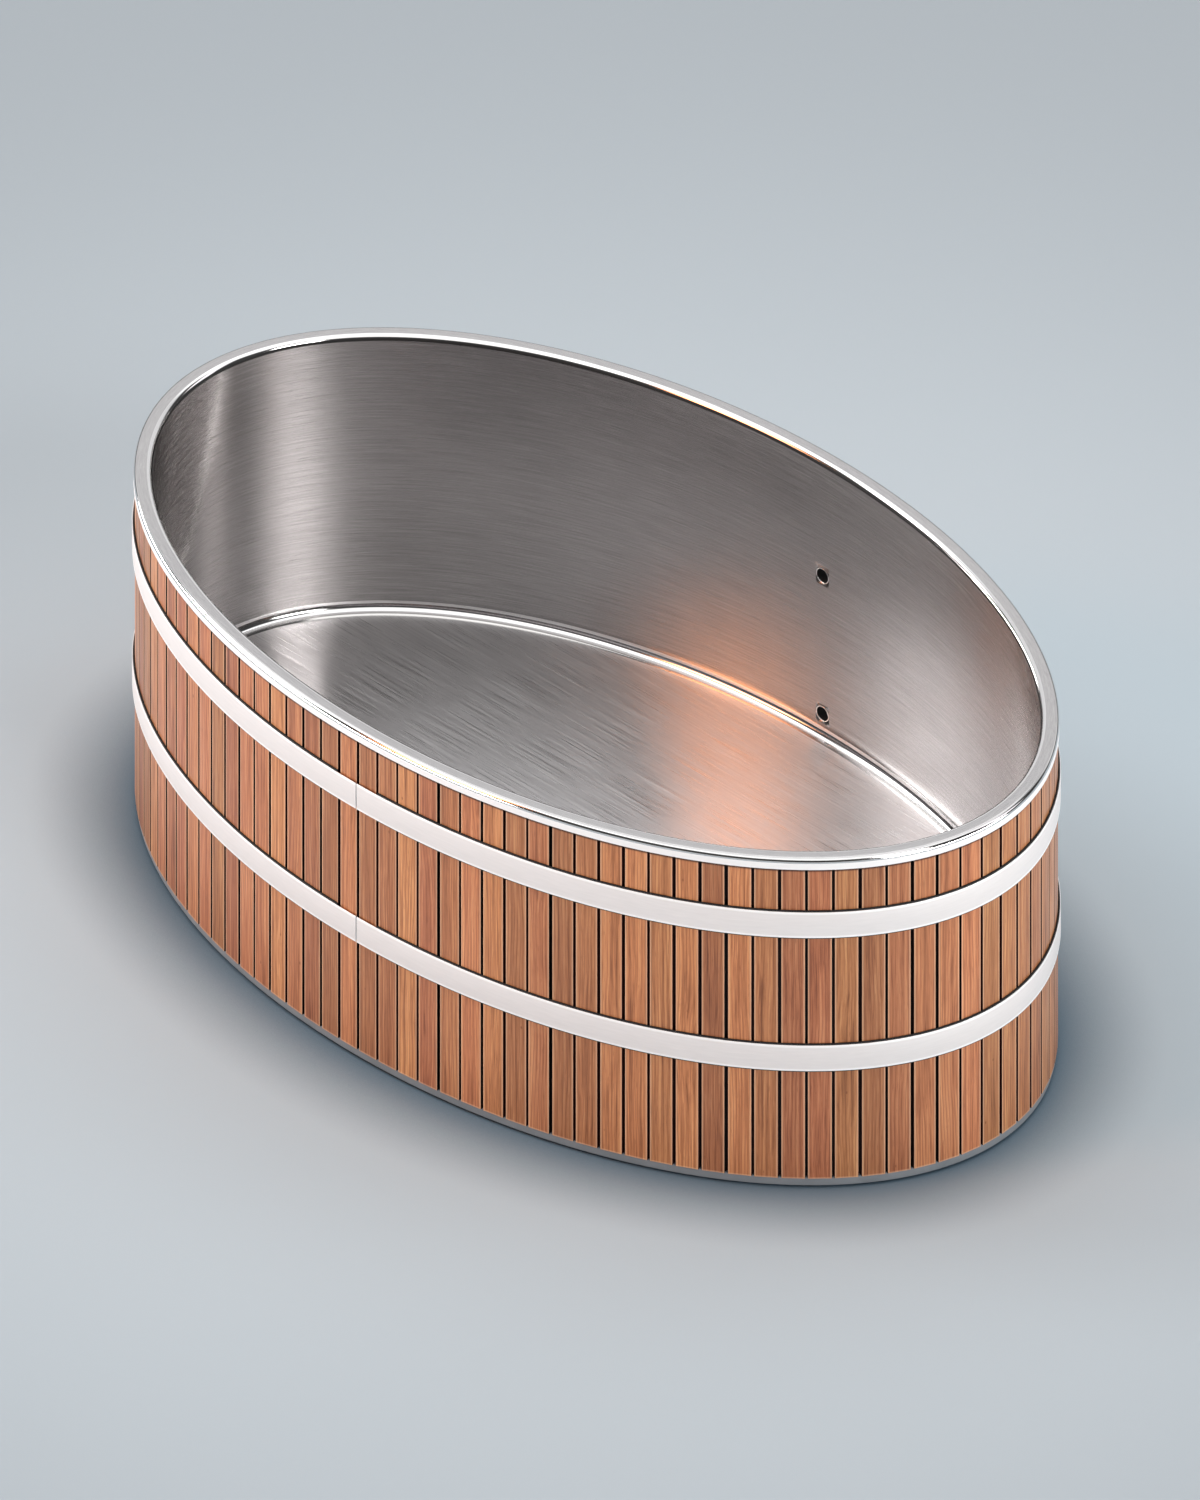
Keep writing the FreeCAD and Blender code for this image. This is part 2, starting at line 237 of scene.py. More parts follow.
def makeWoodGrain():
    tree, given, out = newGroup("woodGrain", [
        ("Place", "NodeSocketVector", None),
        ("Light", "NodeSocketColor", None),
        ("Middle", "NodeSocketColor", None),
        ("Dark", "NodeSocketColor", None),
        ("Band Width", "NodeSocketFloat", 0.007),
        ("Waver", "NodeSocketFloat", 0.012),
    ], [("Color", "NodeSocketColor"), ("Height", "NodeSocketFloat"), ("Roughness", "NodeSocketFloat")])
    place = given["Place"]
    sway = addMath(tree, "SUBTRACT", addNoise(tree, place, wood["sway"]), 0.5)
    sway = addMath(tree, "MULTIPLY", sway, given["Waver"])
    shift = addNode(tree, "ShaderNodeCombineXYZ", {0: sway, 1: sway}).outputs[0]
    bent = addVector(tree, "ADD", place, shift)
    perBand = addMath(tree, "DIVIDE", 1.0, given["Band Width"])
    bandScale = addNode(tree, "ShaderNodeCombineXYZ", {0: perBand, 1: perBand, 2: wood["bandsAlong"]})
    bands = addNoise(tree, bent, bandScale.outputs[0], 2.0, 0.55)
    fibre = addNoise(tree, bent, wood["fibre"], 3.0, 0.6)
    mottle = addNoise(tree, place, wood["mottle"])
    pores = addRange(tree, addNoise(tree, bent, wood["pores"], 1.0), *wood["poreRange"], 0.0, 1.0)

    # growth lines that come and go along the board
    wander = addMath(tree, "MULTIPLY", addNoise(tree, place, wood["wander"]), wood["wanderTurns"])
    across = addNode(tree, "ShaderNodeSeparateXYZ", {0: bent}).outputs["X"]
    turn = addMath(tree, "ADD", addMath(tree, "MULTIPLY", across, perBand), wander)
    growth = addMath(tree, "SINE", addMath(tree, "MULTIPLY", turn, 2 * math.pi))
    growth = addRange(tree, growth, *wood["growthRange"], 0.0, 1.0, smooth=True)
    strength = addRange(tree, mottle, *wood["mottleRange"], *wood["growthShade"])
    growth = addMath(tree, "MULTIPLY", growth, strength)

    # the tone goes from dark through middle to light
    total = addShares(tree, bands, wood["bandShare"], fibre, wood["fibreShare"])
    total = addMath(tree, "ADD", total, addMath(tree, "MULTIPLY", mottle, wood["mottleShare"]))
    spread = addRange(tree, total, *wood["toneRange"], 0.0, 2.0)
    lower = addBlend(tree, addMath(tree, "MINIMUM", spread, 1.0), given["Dark"], given["Middle"])
    upper = addMath(tree, "SUBTRACT", spread, 1.0, clamp=True)
    colour = addBlend(tree, upper, lower, given["Light"])

    # pores, knots and growth lines stain it
    knotPlace = addVector(tree, "MULTIPLY", place, wood["knots"])
    knot = addNode(tree, "ShaderNodeTexVoronoi", {"Vector": knotPlace, "Scale": 1.0}).outputs["Distance"]
    knot = addRange(tree, knot, *wood["knotRange"], wood["knotShade"], 0.0, smooth=True)
    stain = addMath(tree, "MAXIMUM", addMath(tree, "MULTIPLY", pores, wood["poreShade"]), knot)
    stain = addMath(tree, "MAXIMUM", stain, growth)
    colour = addBlend(tree, stain, colour, given["Dark"])
    height = addMath(tree, "SUBTRACT", fibre, addMath(tree, "MULTIPLY", pores, wood["poreDepth"]))
    tree.links.new(colour, out["Color"])
    tree.links.new(height, out["Height"])
    tree.links.new(addRange(tree, total, *wood["roughRange"], *wood["rough"]), out["Roughness"])
    return tree


# Brush lines for the steel finishes: long and thin along the first axis of the place, fine ones, the broader
# ones that show, and clouds
brushing = {
    "broad": (0.7, 0.3, 0.3),
    "cloud": (2.2, 3.4, 3.4),
    "fineShare": 0.4,
    "broadShare": 0.6,
    "lineRange": (0.3, 0.7),
    "streakRange": (0.32, 0.68),
    "streakShare": 0.75,
    "cloudShare": 0.25,
    "quarterTurn": 0.25,
}


def makeBrushLines():
    tree, given, out = newGroup("brushLines", [
        ("Place", "NodeSocketVector", None),
        ("Line Length", "NodeSocketFloat", 0.3),
        ("Line Width", "NodeSocketFloat", 0.0008),
    ], [("Line", "NodeSocketFloat"), ("Streak", "NodeSocketFloat"), ("Cloud", "NodeSocketFloat")])
    place = given["Place"]
    perLength = addMath(tree, "DIVIDE", 1.0, given["Line Length"])
    perWidth = addMath(tree, "DIVIDE", 1.0, given["Line Width"])
    scale = addNode(tree, "ShaderNodeCombineXYZ", {0: perLength, 1: perWidth, 2: perWidth}).outputs[0]
    fine = addNoise(tree, place, scale, 2.0, 0.6)
    broad = addNoise(tree, addVector(tree, "MULTIPLY", place, brushing["broad"]), scale, 3.0, 0.6)
    both = addShares(tree, fine, brushing["fineShare"], broad, brushing["broadShare"])
    cloud = addNoise(tree, place, brushing["cloud"], 3.0, 0.55)
    tree.links.new(addRange(tree, fine, *brushing["lineRange"], 0.0, 1.0), out["Line"])
    tree.links.new(addRange(tree, both, *brushing["streakRange"], 0.0, 1.0), out["Streak"])
    tree.links.new(addRange(tree, cloud, *brushing["lineRange"], 0.0, 1.0), out["Cloud"])
    return tree


woodGrain = makeWoodGrain()
brushLines = makeBrushLines()
print("shared effects made")


# Finishes
timberLook = {
    "light": (0.64, 0.277, 0.131, 1),
    "middle": (0.465, 0.162, 0.072, 1),
    "dark": (0.20, 0.056, 0.023, 1),
    "bandWidth": 0.006,
    "waver": 0.014,
    # edge is the colour of the painted highlight on the eased edges and the bottom edge
    "edge": (0.84, 0.50, 0.31, 1),
    "paintedBlackShade": (0.003, 0.001, 0.001, 1),
    "paintedRedShade": (0.035, 0.005, 0.003, 1),
    "tone": (0.74, 1.18),
    "secondDraw": 7.0,
    "hue": (0.498, 0.511),
    "redFrom": (0.4, 0.6),
    "edgeFrom": 0.0042,
    "edgeTo": 0.0012,
    "edgeBlend": 0.55,
    "bottomHighlight": 0.0035,
    "paintedSkirtShadowFrom": 0.0072,
    "paintedSkirtShadowTo": 0.0032,
    "paintedSkirtShadowBlend": 0.88,
    "grooveShadeFrom": 0.00005,
    "grooveShadeTo": 0.0004,
    "bump": 0.00025,
    "specular": 0.3,
    "coat": 0.5,
    "coatRough": 0.22,
}
deckLook = {
    "light": (0.66, 0.48, 0.30, 1),
    "middle": (0.52, 0.36, 0.21, 1),
    "dark": (0.36, 0.23, 0.12, 1),
    "bandWidth": 0.02,
    "waver": 0.05,
    "bump": 0.0002,
}


# The wood grain on a shader, its colour left to the finish
def addGrain(tree, shader, place, look):
    grain = addGroup(tree, woodGrain, {
        "Place": place, "Light": look["light"], "Middle": look["middle"], "Dark": look["dark"],
        "Band Width": look["bandWidth"], "Waver": look["waver"]})
    tree.links.new(grain["Roughness"], shader.inputs["Roughness"])
    tree.links.new(addBump(tree, grain["Height"], look["bump"]), shader.inputs["Normal"])
    return grain["Color"]


def makeTimber(faceHalf, bottom):
    look = timberLook
    material, tree, shader = newMaterial("oiledTimber")
    place = addNode(tree, "ShaderNodeAttribute", attribute_name="grainPlace").outputs["Vector"]
    shift = addNode(tree, "ShaderNodeAttribute", attribute_name="boardShift").outputs["Vector"]
    tone = addNode(tree, "ShaderNodeAttribute", attribute_name="boardTone").outputs["Fac"]
    grain = addGrain(tree, shader, addVector(tree, "ADD", place, shift), look)
    value = addRange(tree, tone, 0.0, 1.0, *look["tone"])
    other = addMath(tree, "FRACT", addMath(tree, "MULTIPLY", tone, look["secondDraw"]))
    hue = addRange(tree, other, 0.0, 1.0, *look["hue"])
    toned = addNode(tree, "ShaderNodeHueSaturation", {"Hue": hue, "Value": value, "Color": grain})
    axes = addNode(tree, "ShaderNodeSeparateXYZ", {0: place}).outputs

    # painted highlights on the eased edges and the bottom edge, a painted shadow under the skirt and painted
    # shade in the grooves between the boards
    fromMiddle = addMath(tree, "ABSOLUTE", axes["X"])
    side = addRange(tree, fromMiddle, faceHalf - look["edgeFrom"], faceHalf - look["edgeTo"],
                    0.0, look["edgeBlend"], smooth=True)
    foot = addRange(tree, axes["Z"], bottom, bottom + look["bottomHighlight"], look["edgeBlend"], 0.0)
    colour = addBlend(tree, addMath(tree, "MAXIMUM", side, foot), toned.outputs[0], look["edge"])
    # the painted shadow under the rim's skirt
    under = addRange(tree, axes["Z"], rimLow.z - look["paintedSkirtShadowFrom"], rimLow.z - look["paintedSkirtShadowTo"],
                     0.0, look["paintedSkirtShadowBlend"], smooth=True)
    colour = addBlend(tree, under, colour, look["paintedRedShade"])
    # the painted shade in the grooves, near black or dark red by board
    red = addRange(tree, other, *look["redFrom"], 0.0, 1.0)
    groove = addBlend(tree, red, look["paintedBlackShade"], look["paintedRedShade"])
    deep = addRange(tree, axes["Y"], look["grooveShadeFrom"], look["grooveShadeTo"], 0.0, 1.0)
    colour = addBlend(tree, deep, colour, groove)
    tree.links.new(colour, shader.inputs["Base Color"])
    tree.links.new(addRange(tree, deep, 0.0, 1.0, look["coat"], 0.0), shader.inputs["Coat Weight"])
    shader.inputs["Specular IOR Level"].default_value = look["specular"]
    shader.inputs["Coat Roughness"].default_value = look["coatRough"]
    return material


def makeDeckPly():
    material, tree, shader = newMaterial("deckPly")
    place = addNode(tree, "ShaderNodeTexCoord").outputs["Object"]
    turned = addNode(tree, "ShaderNodeMapping", {"Vector": place, "Rotation": (0, math.pi / 2, 0)})
    grain = addGrain(tree, shader, turned.outputs[0], deckLook)
    tree.links.new(grain, shader.inputs["Base Color"])
    return material


# Steel with brush lines on a UV map or on Object coordinates
def makeSteel(name, look):
    material, tree, shader = newMaterial(name)
    if look["uv"]:
        place = addNode(tree, "ShaderNodeUVMap", uv_map=look["uv"]).outputs[0]
    else:
        place = addNode(tree, "ShaderNodeTexCoord").outputs["Object"]
    brush = addGroup(tree, brushLines, {
        "Place": place, "Line Length": look["lineLength"], "Line Width": look["lineWidth"]})
    mixed = addShares(tree, brush["Streak"], brushing["streakShare"], brush["Cloud"], brushing["cloudShare"])
    colour = addBlend(tree, mixed, look["dark"], look["light"])
    # an edge in the look paints a highlight along both edges of the band
    if "edge" in look:
        across = addNode(tree, "ShaderNodeSeparateXYZ", {0: place}).outputs["Y"]
        fromMiddle = addMath(tree, "ABSOLUTE", addMath(tree, "SUBTRACT", across, look["edge"]["middle"]))
        bright = addRange(tree, fromMiddle, look["edge"]["from"], look["edge"]["to"], 0.0, 1.0, smooth=True)
        colour = addBlend(tree, bright, colour, look["edge"]["colour"])
    tree.links.new(colour, shader.inputs["Base Color"])
    rough = addRange(tree, brush["Line"], *look["scratch"], *look["rough"])
    tree.links.new(rough, shader.inputs["Roughness"])
    tree.links.new(addBump(tree, brush["Streak"], look["bump"]), shader.inputs["Normal"])
    shader.inputs["Metallic"].default_value = look["metallic"]
    if look["anisotropic"]:
        shader.inputs["Anisotropic"].default_value = look["anisotropic"]
        shader.inputs["Anisotropic Rotation"].default_value = brushing["quarterTurn"]
        tangent = addNode(tree, "ShaderNodeTangent", direction_type="UV_MAP", uv_map=look["uv"])
        tree.links.new(tangent.outputs[0], shader.inputs["Tangent"])
    return material


# What a look doesn't say comes from plainSteel
plainSteel = {"uv": "alongOval", "scratch": (0, 1), "bump": 0.00001, "anisotropic": 0.0, "metallic": 1.0}
# a painted highlight along both edges of each hoop
hoopEdgeHighlight = {"middle": 0.0253, "from": 0.0190, "to": 0.0235, "colour": (1.0, 0.99, 0.99, 1)}
steelLooks = {
    # the liner's wall and floor are one steel: the wall's colour is darkened as painted shade, the floor's
    # lightened as painted light
    "brushedWallShaded": {"lineLength": 0.09, "lineWidth": 0.0008, "dark": (0.27, 0.26, 0.256, 1),
                    "light": (0.485, 0.465, 0.46, 1), "rough": (0.20, 0.36), "scratch": (0.45, 1.0),
                    "bump": 0.00003, "anisotropic": 0.8},
    "brushedFloorLit": {"lineLength": 0.17, "lineWidth": 0.0009, "dark": (0.66, 0.64, 0.65, 1),
                     "light": (0.91, 0.89, 0.89, 1), "rough": (0.26, 0.56), "scratch": (0.1, 0.8),
                     "bump": 0.00003, "anisotropic": 0.5},
    "polishedCove": {"lineLength": 0.2, "lineWidth": 0.001, "dark": (0.88, 0.87, 0.865, 1),
                     "light": (0.95, 0.94, 0.935, 1), "rough": (0.06, 0.10)},
    "satinRim": {"lineLength": 0.02, "lineWidth": 0.0012, "dark": (0.60, 0.585, 0.585, 1),
                 "light": (0.74, 0.725, 0.72, 1), "rough": (0.12, 0.20)},
    # the skirt is the rim's own steel, painted near white and almost matt as a painted reflection of the
    # bright floor
    "paintedBrightSkirt": {"lineLength": 0.03, "lineWidth": 0.0014, "dark": (0.86, 0.85, 0.85, 1),
                   "light": (0.92, 0.91, 0.91, 1), "rough": (0.34, 0.46), "metallic": 0.15},
    "satinHoop": {"lineLength": 0.03, "lineWidth": 0.0014, "dark": (0.75, 0.72, 0.71, 1),
                  "light": (0.82, 0.785, 0.775, 1), "rough": (0.34, 0.46), "bump": 0.00002,
                  "metallic": 0.2, "edge": hoopEdgeHighlight},
    "millSteel": {"uv": None, "lineLength": 0.05, "lineWidth": 0.004, "dark": (0.36, 0.37, 0.38, 1),
                  "light": (0.55, 0.56, 0.57, 1), "rough": (0.36, 0.52), "bump": 0.00005},
}
steels = {name: makeSteel(name, {**plainSteel, **look}) for name, look in steelLooks.items()}

# Rubber, nylon, foam and paint: one colour with soft clouds and a fine tooth
matt = {"cloud": (18, 18, 18), "cloudShare": 0.6, "toothShare": 0.4, "range": (0.3, 0.7)}
mattLooks = {
    "backingRubber": {"dark": (0.006, 0.006, 0.006, 1), "light": (0.014, 0.013, 0.013, 1),
                      "rough": (0.7, 0.85), "tooth": 900, "bump": 0.0001},
    "padNylon": {"dark": (0.012, 0.012, 0.013, 1), "light": (0.03, 0.03, 0.032, 1),
                 "rough": (0.45, 0.6), "tooth": 1200, "bump": 0.00008},
    "plinthPaint": {"dark": (0.17, 0.185, 0.20, 1), "light": (0.24, 0.255, 0.275, 1),
                    "rough": (0.5, 0.6), "tooth": 1500, "bump": 0.00004},
    "packingFoam": {"dark": (0.05, 0.05, 0.05, 1), "light": (0.10, 0.10, 0.10, 1),
                    "rough": (0.85, 0.95), "tooth": 500, "bump": 0.0004},
    "insulationFoam": {"dark": (0.40, 0.52, 0.60, 1), "light": (0.54, 0.66, 0.72, 1),
                       "rough": (0.85, 0.95), "tooth": 260, "bump": 0.0005},
}


def makeMatt(name, look):
    material, tree, shader = newMaterial(name)
    place = addNode(tree, "ShaderNodeTexCoord").outputs["Object"]
    cloud = addNoise(tree, place, matt["cloud"], 3.0, 0.6)
    tooth = addNoise(tree, place, (look["tooth"],) * 3, 2.0, 0.6)
    mixed = addShares(tree, cloud, matt["cloudShare"], tooth, matt["toothShare"])
    mixed = addRange(tree, mixed, *matt["range"], 0.0, 1.0)
    tree.links.new(addBlend(tree, mixed, look["dark"], look["light"]), shader.inputs["Base Color"])
    tree.links.new(addRange(tree, cloud, *matt["range"], *look["rough"]), shader.inputs["Roughness"])
    tree.links.new(addBump(tree, tooth, look["bump"]), shader.inputs["Normal"])
    return material


matts = {name: makeMatt(name, look) for name, look in mattLooks.items()}
deckPly = makeDeckPly()
print("finishes made")


# Staves: one blank with tongue, groove and eased edges, set round the oval by its tree
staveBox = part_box("staves_01")
staves = {
    "count": 106,
    "thickness": 0.020,
    "top": staveBox[1].z,
    "bottom": staveBox[0].z,
    "jointGap": 0.0003,
    "gapLeast": 0.0033,
    "gapMost": 0.0056,
    "faceGap": 0.0036,
    "grooveDepth": 0.006,
    "easing": 0.0012,
    "easingSteps": 4,
    "topEasing": 0.004,
    "sharpAngle": 50,
    "tongueFrom": 0.0095,
    "tongueTo": 0.014,
    "tongueLength": 0.005,
    "tongueFit": 0.0003,
    "endRadius": oval["halfWidth"] ** 2 / oval["halfLength"],
    "curveSteps": 1440,
    "boreRadius": portRadius + 0.001,
    "drillSides": 64,
    "drillDepth": 0.2,
    "logSpread": 9,
    "seed": 7,
}


def ovalLength():
    steps = 20000
    turns = [2 * math.pi * k / steps for k in range(steps + 1)]
    points = [ovalPoint(t, 0, 0) for t in turns]
    return sum((b - a).length for a, b in zip(points, points[1:]))


staves["pitch"] = ovalLength() / staves["count"]
staves["faceWidth"] = staves["pitch"] - staves["faceGap"]


# Seen from above with the face at y = 0 and y inwards; the edges draw together towards the back
def staveBlank():
    s = staves

    def half(depth):
        return (s["pitch"] * (1 - depth / s["endRadius"]) - s["jointGap"]) / 2

    faceHalf = s["faceWidth"] / 2
    ease = s["easing"]
    groove = s["grooveDepth"]
    fit = s["tongueFit"]
    first = s["tongueFrom"]
    last = s["tongueTo"]
    reach = s["tongueLength"]
    section = arc((-faceHalf + ease, ease), ease, -90, -180, s["easingSteps"])
    section += [(-faceHalf, groove), (-half(groove), groove), (-half(first), first)]
    section += [(-half(first) - reach, first), (-half(last) - reach, last), (-half(last), last)]
    section += [(-half(s["thickness"]), s["thickness"]), (half(s["thickness"]), s["thickness"])]
    section += [(half(last), last + fit), (half(last) - reach - fit, last + fit)]
    section += [(half(first) - reach - fit, first - fit), (half(first), first - fit)]
    section += [(half(groove), groove), (faceHalf, groove)]
    section += arc((faceHalf - ease, ease), ease, 0, -90, s["easingSteps"])
    shape = bmesh.new()
    low = [shape.verts.new((x, y, s["bottom"])) for x, y in section]
    high = []
    for x, y in section:
        drop = s["topEasing"] - y if y <= ease else 0
        high.append(shape.verts.new((x, y, s["top"] - drop)))
    for k in range(len(section)):
        after = (k + 1) % len(section)
        shape.faces.new((low[k], low[after], high[after], high[k]))
    shape.faces.new(low)
    shape.faces.new(high)
    mesh = meshFrom(shape, "staveBlank", s["sharpAngle"])
    place = mesh.attributes.new("grainPlace", "FLOAT_VECTOR", "CORNER")
    for loop, item in zip(mesh.loops, place.data):
        item.vector = mesh.vertices[loop.vertex_index].co
    blank = bpy.data.objects.new("staveBlank", mesh)
    scene.collection.objects.link(blank)
    return blank


def storeAttribute(tree, geometry, label, value, kind, domain):
    inputs = {"Geometry": geometry, "Name": label, "Value": value}
    return addNode(tree, "GeometryNodeStoreNamedAttribute", inputs, data_type=kind, domain=domain).outputs[0]


def staveTree():
    tree = bpy.data.node_groups.new("staveRing", "GeometryNodeTree")
    sockets = {
        "Blank": "Object", "Count": "Int", "Half Length": "Float", "Half Width": "Float",
        "Face Width": "Float", "Gap Least": "Float", "Gap Most": "Float", "Bore Radius": "Float",
        "Lower Port": "Float", "Upper Port": "Float", "Seed": "Int", "Finish": "Material"}
    for label, kind in sockets.items():
        tree.interface.new_socket(label, in_out="INPUT", socket_type="NodeSocket" + kind)
    tree.interface.new_socket("Geometry", in_out="OUTPUT", socket_type="NodeSocketGeometry")
    given = tree.nodes.new("NodeGroupInput").outputs
    out = tree.nodes.new("NodeGroupOutput").inputs

    # the oval, starting at the front centre
    circle = addNode(tree, "GeometryNodeCurvePrimitiveCircle",
                     {"Resolution": staves["curveSteps"], "Radius": 1.0}, mode="RADIUS")
    turned = addNode(tree, "GeometryNodeTransform",
                     {"Geometry": circle.outputs[0], "Rotation": (0, 0, -math.pi / 2)})
    axes = addNode(tree, "ShaderNodeCombineXYZ", {0: given["Half Length"], 1: given["Half Width"], 2: 1.0})
    line = addNode(tree, "GeometryNodeTransform", {"Geometry": turned.outputs[0], "Scale": axes.outputs[0]})

    # each stave stands on the chord between two joints, and each joint has a gap of its own
    index = addNode(tree, "GeometryNodeInputIndex").outputs[0]
    following = addMath(tree, "ADD", index, 1.0)
    joints = []
    gaps = []
    for number in (index, following):
        factor = addMath(tree, "DIVIDE", number, given["Count"])
        sample = addNode(tree, "GeometryNodeSampleCurve",
                         {"Curves": line.outputs[0], "Factor": factor}, mode="FACTOR")
        joints.append(sample.outputs["Position"])
        which = addMath(tree, "MODULO", number, given["Count"])
        inputs = {2: given["Gap Least"], 3: given["Gap Most"], "ID": which, "Seed": given["Seed"]}
        gap = addNode(tree, "FunctionNodeRandomValue", inputs, data_type="FLOAT")
        gaps.append(gap.outputs[1])
    chord = addVector(tree, "SUBTRACT", joints[1], joints[0])
    width = addNode(tree, "ShaderNodeVectorMath", {0: chord}, operation="LENGTH").outputs["Value"]
    along = addNode(tree, "ShaderNodeVectorMath", {0: chord}, operation="NORMALIZE").outputs[0]
    middle = addVector(tree, "MULTIPLY", addVector(tree, "ADD", joints[0], joints[1]), (0.5, 0.5, 0.5))
    aside = addMath(tree, "MULTIPLY", addMath(tree, "SUBTRACT", gaps[0], gaps[1]), 0.25)
    push = addNode(tree, "ShaderNodeVectorMath", {0: along, "Scale": aside}, operation="SCALE").outputs[0]
    spots = addVector(tree, "ADD", middle, push)
    points = addNode(tree, "GeometryNodePoints", {"Count": given["Count"], "Position": spots})
    taken = addMath(tree, "MULTIPLY", addMath(tree, "ADD", gaps[0], gaps[1]), 0.5)
    stretch = addMath(tree, "DIVIDE", addMath(tree, "SUBTRACT", width, taken), given["Face Width"])
    size = addNode(tree, "ShaderNodeCombineXYZ", {0: stretch, 1: 1.0, 2: 1.0}).outputs[0]
    facing = addNode(tree, "FunctionNodeAlignRotationToVector", {"Vector": along}, axis="X", pivot_axis="Z")
    blank = addNode(tree, "GeometryNodeObjectInfo", {"Object": given["Blank"], "As Instance": True})
    ring = addNode(tree, "GeometryNodeInstanceOnPoints", {
        "Points": points.outputs[0], "Instance": blank.outputs["Geometry"],
        "Rotation": facing.outputs[0], "Scale": size}).outputs[0]

    # every board has its own tone and comes from another place in the log
    toneSeed = addMath(tree, "ADD", given["Seed"], 1.0)
    tone = addNode(tree, "FunctionNodeRandomValue", {"Seed": toneSeed}, data_type="FLOAT").outputs[1]
    ring = storeAttribute(tree, ring, "boardTone", tone, "FLOAT", "INSTANCE")
    spread = staves["logSpread"]
    shiftSeed = addMath(tree, "ADD", given["Seed"], 2.0)
    shift = addNode(tree, "FunctionNodeRandomValue", {
        0: (-spread,) * 3, 1: (spread,) * 3, "Seed": shiftSeed}, data_type="FLOAT_VECTOR").outputs[0]
    ring = storeAttribute(tree, ring, "boardShift", shift, "FLOAT_VECTOR", "INSTANCE")

    # the two staves at the back centre are bored for the ports
    halfway = addMath(tree, "MULTIPLY", addMath(tree, "SUBTRACT", given["Count"], 1.0), 0.5)
    offMiddle = addMath(tree, "ABSOLUTE", addMath(tree, "SUBTRACT", index, halfway))
    bored = addNode(tree, "GeometryNodeSeparateGeometry", {
        "Geometry": ring, "Selection": addMath(tree, "LESS_THAN", offMiddle, 1.0)}, domain="INSTANCE")
    boards = []
    for part in ("Selection", "Inverted"):
        made = addNode(tree, "GeometryNodeRealizeInstances", {"Geometry": bored.outputs[part]}).outputs[0]
        for label, kind in (("boardTone", "FLOAT"), ("boardShift", "FLOAT_VECTOR")):
            stored = addNode(tree, "GeometryNodeInputNamedAttribute", {"Name": label}, data_type=kind)
            made = storeAttribute(tree, made, label, stored.outputs[0], kind, "FACE")
        boards.append(made)
    drill = addNode(tree, "GeometryNodeMeshCylinder", {
        "Vertices": staves["drillSides"], "Radius": given["Bore Radius"], "Depth": staves["drillDepth"]})
    drills = addNode(tree, "GeometryNodeJoinGeometry")
    for label in ("Lower Port", "Upper Port"):
        spot = addNode(tree, "ShaderNodeCombineXYZ", {1: given["Half Width"], 2: given[label]}).outputs[0]
        placed = addNode(tree, "GeometryNodeTransform", {
            "Geometry": drill.outputs["Mesh"], "Translation": spot, "Rotation": (math.pi / 2, 0, 0)})
        tree.links.new(placed.outputs[0], drills.inputs[0])
    cut = addNode(tree, "GeometryNodeMeshBoolean", {"Mesh 1": boards[0], "Mesh 2": drills.outputs[0]},
                  operation="DIFFERENCE", solver="EXACT")
    joined = addNode(tree, "GeometryNodeJoinGeometry")
    tree.links.new(cut.outputs["Mesh"], joined.inputs[0])
    tree.links.new(boards[1], joined.inputs[0])
    whole = addNode(tree, "GeometryNodeRealizeInstances", {"Geometry": joined.outputs[0]})
    done = addNode(tree, "GeometryNodeSetMaterial",
                   {"Geometry": whole.outputs[0], "Material": given["Finish"]})
    tree.links.new(done.outputs[0], out["Geometry"])
    return tree


# Runs a tree once with these inputs and keeps the plain mesh
def bakeTree(tree, name, values):
    holder = bpy.data.objects.new(name + "Tree", bpy.data.meshes.new(name + "Tree"))
    scene.collection.objects.link(holder)
    modifier = holder.modifiers.new("build", "NODES")
    modifier.node_group = tree
    for item in tree.interface.items_tree:
        if item.in_out == "INPUT":
            modifier[item.identifier] = values[item.name]
    depsgraph = bpy.context.evaluated_depsgraph_get()
    mesh = bpy.data.meshes.new_from_object(holder.evaluated_get(depsgraph), preserve_all_data_layers=True,
                                           depsgraph=depsgraph)
    bpy.data.objects.remove(holder)
    return mesh


timber = makeTimber(staves["faceWidth"] / 2, staves["bottom"])
blank = staveBlank()
staveMesh = bakeTree(staveTree(), "staveRing", {
    "Blank": blank, "Count": staves["count"], "Seed": staves["seed"], "Finish": timber,
    "Half Length": oval["halfLength"], "Half Width": oval["halfWidth"],
    "Face Width": staves["faceWidth"], "Gap Least": staves["gapLeast"], "Gap Most": staves["gapMost"],
    "Bore Radius": staves["boreRadius"], "Lower Port": ports["port_sleeve_lower"].z,
    "Upper Port": ports["port_sleeve_upper"].z})
bpy.data.objects.remove(blank)
staveNodes = [name for name in cad if name.startswith("staves")]
addPiece("staveRing", staveMesh, timber, "timber", "tub", *staveNodes)
print("staves:", len(staveMesh.polygons), "faces")

# Rim: the sheet folded over the stave tops, a skirt outside and a lip inside
rim = {
    "outerBend": 0.008,
    "innerBend": 0.009,
    "bendSteps": 9,
    "brightStrips": 6,
    "paintedDarkStrips": 3,
    "skirtGap": 0.0003,
}


def rimProfile():
    top = rimHigh.z
    outer = rim["outerBend"]
    inner = rim["innerBend"]
    steps = rim["bendSteps"]
    outerCentre = (skirtProud - outer, top - outer)
    innerCentre = (linerInner + inner, top - inner)
    skirtLow = rimLow.z
    lipLow = wallBox[1].z
    profile = [(skirtProud, skirtLow)]
    profile += arc(outerCentre, outer, 0, 90, steps)
    profile += arc(innerCentre, inner, 90, 180, steps)
    profile += [(linerInner, lipLow), (linerOuter, lipLow)]
    profile += arc(innerCentre, inner - sheet, 180, 90, steps)
    profile += arc(outerCentre, outer - skirtProud + rim["skirtGap"], 90, 0, steps)
    profile += [(rim["skirtGap"], skirtLow)]
    return profile
